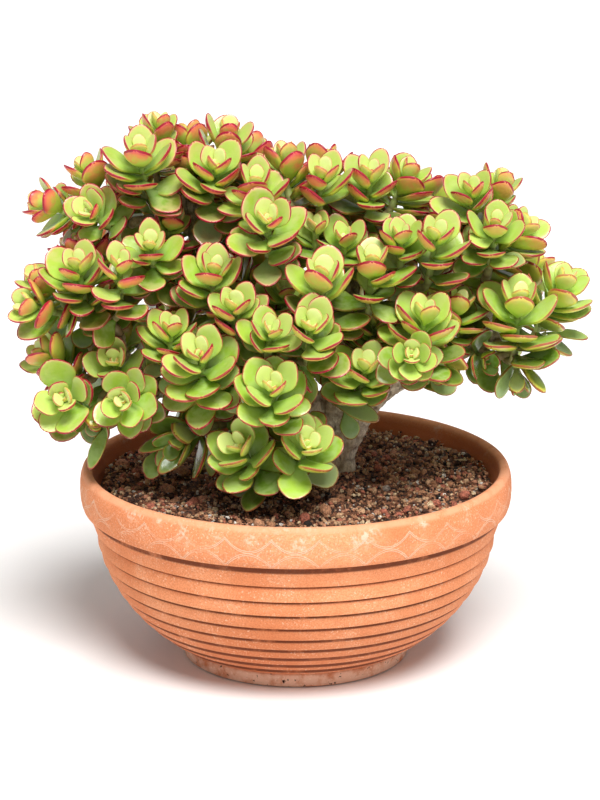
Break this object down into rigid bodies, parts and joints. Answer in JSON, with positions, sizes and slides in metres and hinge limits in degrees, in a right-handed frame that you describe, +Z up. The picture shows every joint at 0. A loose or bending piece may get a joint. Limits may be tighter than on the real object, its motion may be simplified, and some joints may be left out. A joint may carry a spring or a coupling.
{
  "type": "jade plant bonsai in a bowl",
  "caption": "Potted jade bonsai: rosettes of fleshy red-edged leaves on forking woody limbs, in a ribbed round terracotta bowl with a wide collar.",
  "frame": {"origin": "middle of the bowl's flat underside, on the surface that it stands on", "axes": "+Z up, -Y the front of the plant, +X to the right of the front"},
  "size_m": [0.4848, 0.37, 0.4729],
  "materials": {
    "terracotta": "unglazed and matt, fine grained, with a pale lime bloom",
    "potting_mix": "loose dark grit with reddish lava and beige grains",
    "bark": "matt grey-brown bark with leaf-scar rings",
    "leaf": "smooth waxy green with crimson margins"
  },
  "bodies": {
    "root": {"bowl": "terracotta", "potting_mix": "potting_mix", "trunk": "bark", "leafy_branch_top_left": "leaf", "leafy_branch_top_left_inner": "leaf", "leafy_branch_far_left_high": "leaf", "leafy_branch_left_pocket": "leaf", "leafy_branch_left_upper": "leaf", "leafy_branch_far_left": "leaf", "leafy_branch_left_lower": "leaf", "leafy_branch_left_front": "leaf", "leafy_branch_front_left": "leaf", "leafy_branch_middle_left": "leaf", "leafy_branch_middle_front": "leaf", "leafy_branch_low_middle": "leaf", "leafy_branch_low_front": "leaf", "leafy_branch_low_right": "leaf", "leafy_branch_right_front": "leaf", "leafy_branch_right": "leaf", "leafy_branch_under_right": "leaf", "leafy_branch_under_right_outer": "leaf", "leafy_branch_hanging_right": "leaf", "leafy_branch_hanging_left": "leaf", "leafy_branch_hanging_middle": "leaf", "leafy_branch_right_high": "leaf", "leafy_branch_right_shoulder": "leaf", "leafy_branch_right_upper": "leaf", "leafy_branch_middle_right": "leaf", "leafy_branch_middle_crown": "leaf", "leafy_branch_crown_left": "leaf", "leafy_branch_crown_middle": "leaf", "leafy_branch_crown_right": "leaf", "leafy_branch_back_left_high": "leaf", "leafy_branch_back_far_left": "leaf", "leafy_branch_back_low_left": "leaf", "leafy_branch_back_crown": "leaf", "leafy_branch_back_middle": "leaf", "leafy_branch_back_low": "leaf", "leafy_branch_back_low_right": "leaf", "leafy_branch_back_right_high": "leaf", "leafy_branch_back_right": "leaf", "leafy_branch_back_far_right": "leaf", "leafy_branch_inner_middle": "leaf", "leafy_branch_inner_right": "leaf", "leafy_branch_inner_right_outer": "leaf", "leafy_branch_inner_crown": "leaf"}
  },
  "joints": []
}
